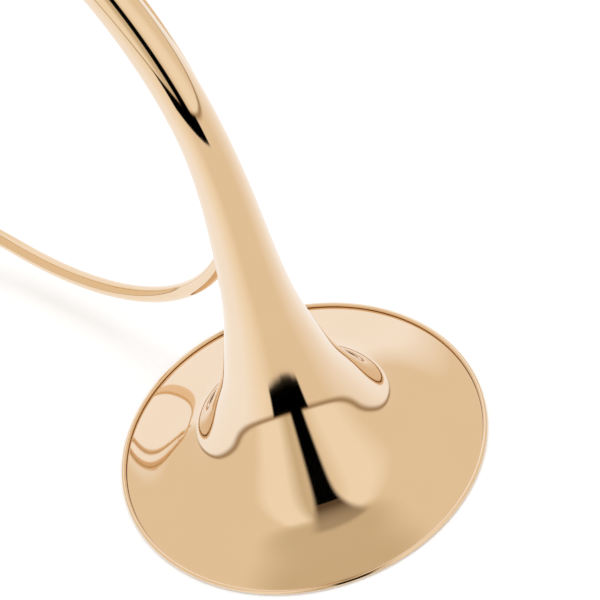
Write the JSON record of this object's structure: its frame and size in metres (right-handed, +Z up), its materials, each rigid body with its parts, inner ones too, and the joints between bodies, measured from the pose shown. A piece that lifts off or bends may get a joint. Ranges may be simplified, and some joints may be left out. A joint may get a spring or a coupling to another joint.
{
  "type": "hunting horn",
  "caption": "Large-hoop brass hunting horn with a wide flared bell, rolled rim, long tapering tail, removable mouthpiece, stays between its turns and swinging strap rings.",
  "frame": {"origin": "centre of the horn's footprint, in the plane of the bell's mouth", "axes": "+Z up the bell's axis from its mouth to its tail, -X towards the far side of the hoop, +Y towards the inner turn behind the tail"},
  "size_m": [0.6632, 0.27, 0.5513],
  "materials": {
    "bell_brass": "mirror polished, clear lacquer",
    "tube_brass": "mirror polished, clear lacquer",
    "fitting_brass": "polished, clear lacquer",
    "rim_wire_brass": "drawn wire",
    "silver_plate": "polished silver plate"
  },
  "bodies": {
    "horn": {"bell": "bell_brass", "rim_wire": "rim_wire_brass", "bell_ferrule": "fitting_brass", "tail_bow": "tube_brass", "tail_ferrule": "fitting_brass", "lower_bow": "tube_brass", "lower_ferrule": "fitting_brass", "upper_bow": "tube_brass", "upper_ferrule": "fitting_brass", "mouthpipe": "tube_brass", "receiver": "fitting_brass", "stay_1_outer_foot": "fitting_brass", "stay_1_inner_foot": "fitting_brass", "stay_1_post": "fitting_brass", "stay_2_outer_foot": "fitting_brass", "stay_2_inner_foot": "fitting_brass", "stay_2_post": "fitting_brass", "stay_3_outer_foot": "fitting_brass", "stay_3_inner_foot": "fitting_brass", "stay_3_post": "fitting_brass", "stay_4_outer_foot": "fitting_brass", "stay_4_inner_foot": "fitting_brass", "stay_4_post": "fitting_brass", "strap_lug_1": "fitting_brass", "strap_lug_2": "fitting_brass"},
    "mouthpiece": {"mouthpiece": "silver_plate"},
    "strap_ring_1": {"strap_ring_1": "fitting_brass"},
    "strap_ring_2": {"strap_ring_2": "fitting_brass"}
  },
  "joints": [
    {"name": "mouthpiece_pull", "type": "slide", "parent": "horn", "child": "mouthpiece", "axis": [0, 0, -1], "range_m": [0, 0.022]},
    {"name": "strap_ring_1_swing", "type": "hinge", "parent": "horn", "child": "strap_ring_1", "pos_m": [0.02978, 0, 0.52975], "axis": [-0.9396, 0, 0.3422], "range_deg": [-115, 115]},
    {"name": "strap_ring_2_swing", "type": "hinge", "parent": "horn", "child": "strap_ring_2", "pos_m": [-0.19165, 0.0153, 0.04742], "axis": [0.9137, 0.1473, -0.3788], "range_deg": [-115, 115]}
  ]
}
